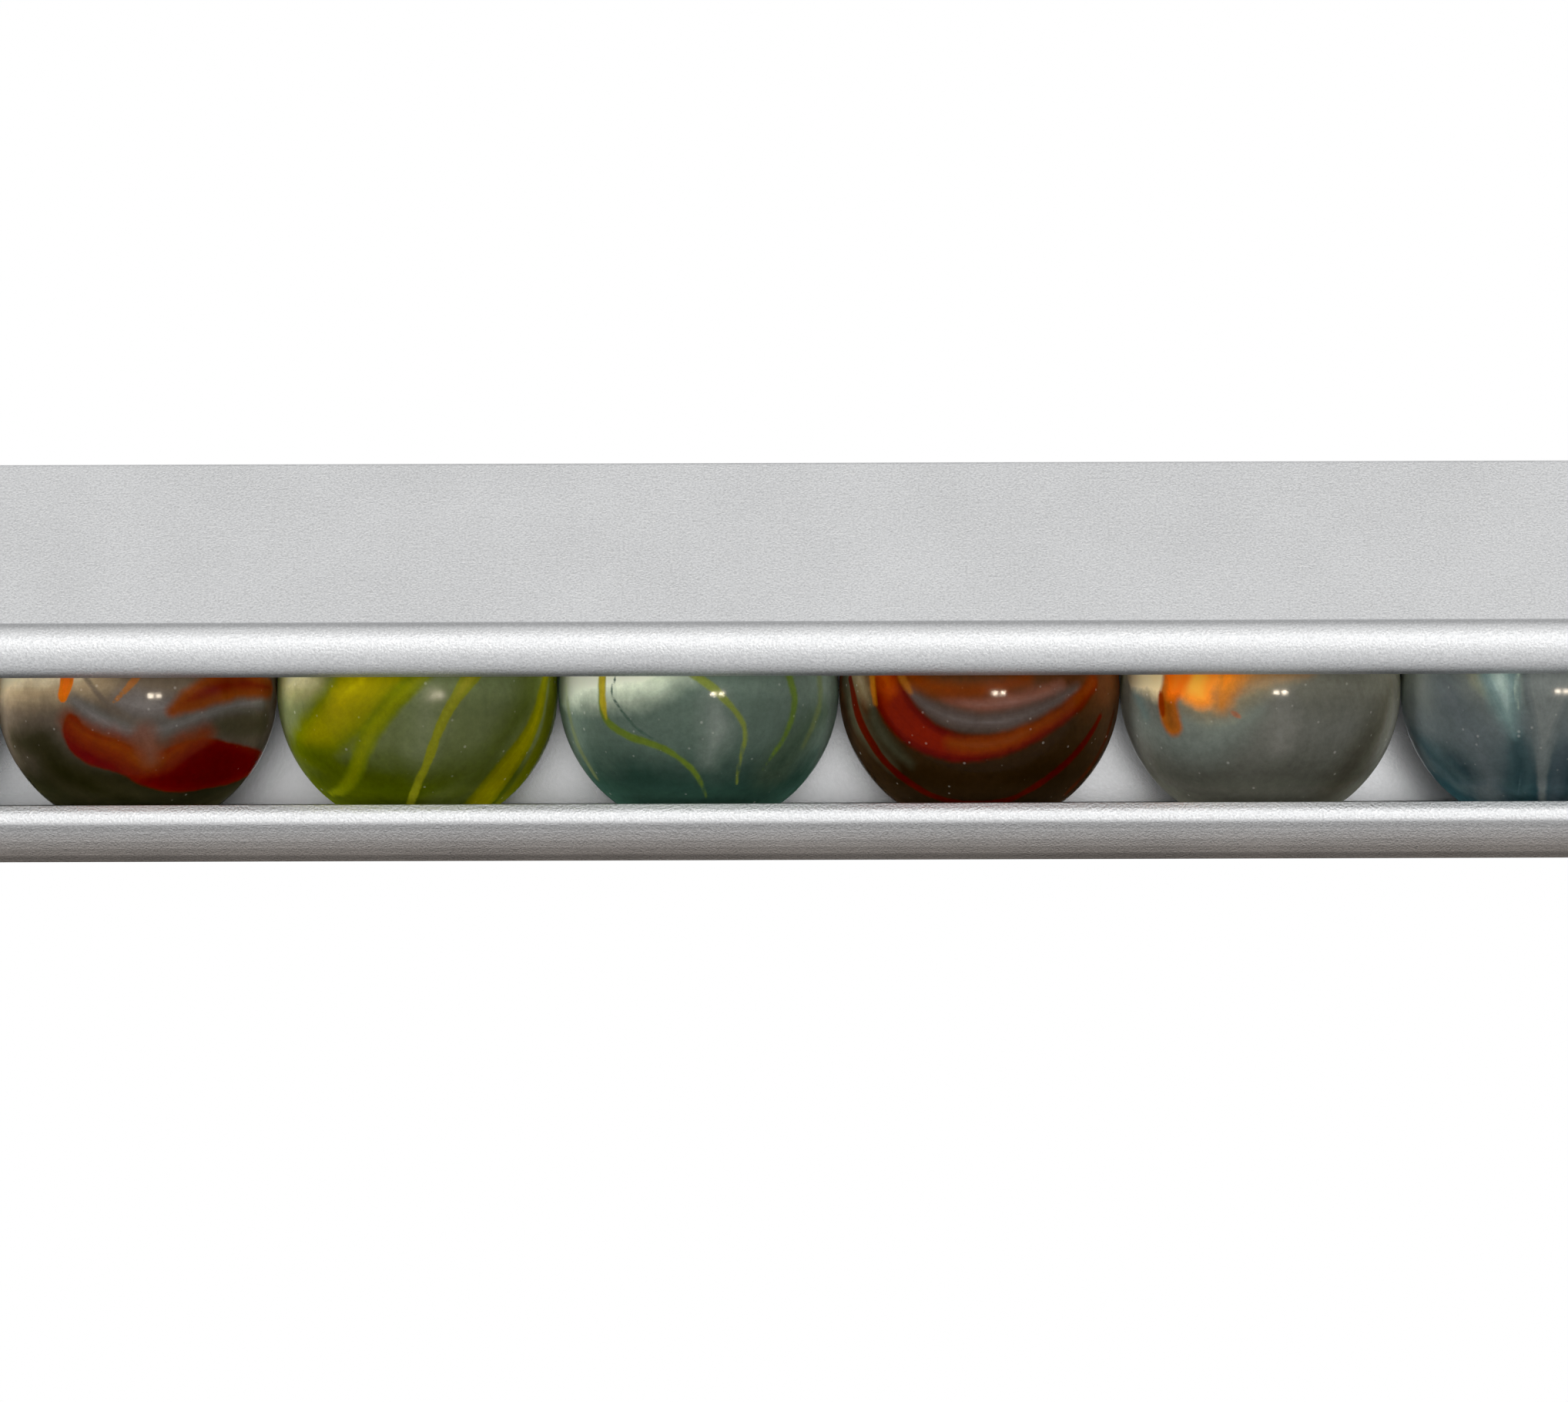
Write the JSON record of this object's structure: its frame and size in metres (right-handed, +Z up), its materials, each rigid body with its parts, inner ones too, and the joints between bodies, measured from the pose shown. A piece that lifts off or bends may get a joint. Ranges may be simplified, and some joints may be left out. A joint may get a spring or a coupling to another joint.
{
  "type": "order ticket rail",
  "caption": "Wall-fixed aluminium channel whose row of loose glass marbles clamps paper order tickets pushed up behind its front bead; closed by two screwed end caps.",
  "frame": {"origin": "middle of the channel's flat back face, on the wall plane", "axes": "+X along the rail, to the right seen from the front; +Y into the wall; +Z up"},
  "size_m": [0.3052, 0.0229, 0.0236],
  "materials": {
    "satin_aluminium": "bead-blasted and clear anodised, fine even grain",
    "cap_plastic": "moulded, fine spark texture",
    "screw_steel": "zinc-plated steel",
    "glass_orange": "polished swirled glass, opaque and clear bands",
    "glass_olive": "polished swirled glass, opaque and clear bands",
    "glass_teal": "polished swirled glass, opaque and clear bands",
    "glass_brown": "polished swirled glass, opaque and clear bands",
    "glass_grey": "polished swirled glass, opaque and clear bands",
    "glass_blue": "polished swirled glass, opaque and clear bands"
  },
  "bodies": {
    "rail": {"rail_channel": "satin_aluminium", "end_cap_left": "cap_plastic", "end_cap_right": "cap_plastic", "cap_screw_left_lower": "screw_steel", "cap_screw_left_upper": "screw_steel", "cap_screw_right_lower": "screw_steel", "cap_screw_right_upper": "screw_steel"},
    "marble_01": {"marble_01": "glass_blue"},
    "marble_02": {"marble_02": "glass_olive"},
    "marble_03": {"marble_03": "glass_grey"},
    "marble_04": {"marble_04": "glass_teal"},
    "marble_05": {"marble_05": "glass_brown"},
    "marble_06": {"marble_06": "glass_blue"},
    "marble_07": {"marble_07": "glass_orange"},
    "marble_08": {"marble_08": "glass_olive"},
    "marble_09": {"marble_09": "glass_teal"},
    "marble_10": {"marble_10": "glass_brown"},
    "marble_11": {"marble_11": "glass_grey"},
    "marble_12": {"marble_12": "glass_blue"},
    "marble_13": {"marble_13": "glass_teal"},
    "marble_14": {"marble_14": "glass_orange"},
    "marble_15": {"marble_15": "glass_grey"},
    "marble_16": {"marble_16": "glass_olive"},
    "marble_17": {"marble_17": "glass_blue"},
    "marble_18": {"marble_18": "glass_brown"}
  },
  "joints": [
    {"name": "marble_01_retreat", "type": "slide", "parent": "rail", "child": "marble_01", "axis": [0, 0.9903, 0.1392], "range_m": [0, 0.0015]},
    {"name": "marble_02_retreat", "type": "slide", "parent": "rail", "child": "marble_02", "axis": [0, 0.9903, 0.1392], "range_m": [0, 0.0015]},
    {"name": "marble_03_retreat", "type": "slide", "parent": "rail", "child": "marble_03", "axis": [0, 0.9903, 0.1392], "range_m": [0, 0.0015]},
    {"name": "marble_04_retreat", "type": "slide", "parent": "rail", "child": "marble_04", "axis": [0, 0.9903, 0.1392], "range_m": [0, 0.0015]},
    {"name": "marble_05_retreat", "type": "slide", "parent": "rail", "child": "marble_05", "axis": [0, 0.9903, 0.1392], "range_m": [0, 0.0015]},
    {"name": "marble_06_retreat", "type": "slide", "parent": "rail", "child": "marble_06", "axis": [0, 0.9903, 0.1392], "range_m": [0, 0.0015]},
    {"name": "marble_07_retreat", "type": "slide", "parent": "rail", "child": "marble_07", "axis": [0, 0.9903, 0.1392], "range_m": [0, 0.0015]},
    {"name": "marble_08_retreat", "type": "slide", "parent": "rail", "child": "marble_08", "axis": [0, 0.9903, 0.1392], "range_m": [0, 0.0015]},
    {"name": "marble_09_retreat", "type": "slide", "parent": "rail", "child": "marble_09", "axis": [0, 0.9903, 0.1392], "range_m": [0, 0.0015]},
    {"name": "marble_10_retreat", "type": "slide", "parent": "rail", "child": "marble_10", "axis": [0, 0.9903, 0.1392], "range_m": [0, 0.0015]},
    {"name": "marble_11_retreat", "type": "slide", "parent": "rail", "child": "marble_11", "axis": [0, 0.9903, 0.1392], "range_m": [0, 0.0015]},
    {"name": "marble_12_retreat", "type": "slide", "parent": "rail", "child": "marble_12", "axis": [0, 0.9903, 0.1392], "range_m": [0, 0.0015]},
    {"name": "marble_13_retreat", "type": "slide", "parent": "rail", "child": "marble_13", "axis": [0, 0.9903, 0.1392], "range_m": [0, 0.0015]},
    {"name": "marble_14_retreat", "type": "slide", "parent": "rail", "child": "marble_14", "axis": [0, 0.9903, 0.1392], "range_m": [0, 0.0015]},
    {"name": "marble_15_retreat", "type": "slide", "parent": "rail", "child": "marble_15", "axis": [0, 0.9903, 0.1392], "range_m": [0, 0.0015]},
    {"name": "marble_16_retreat", "type": "slide", "parent": "rail", "child": "marble_16", "axis": [0, 0.9903, 0.1392], "range_m": [0, 0.0015]},
    {"name": "marble_17_retreat", "type": "slide", "parent": "rail", "child": "marble_17", "axis": [0, 0.9903, 0.1392], "range_m": [0, 0.0015]},
    {"name": "marble_18_retreat", "type": "slide", "parent": "rail", "child": "marble_18", "axis": [0, 0.9903, 0.1392], "range_m": [0, 0.0015]}
  ]
}
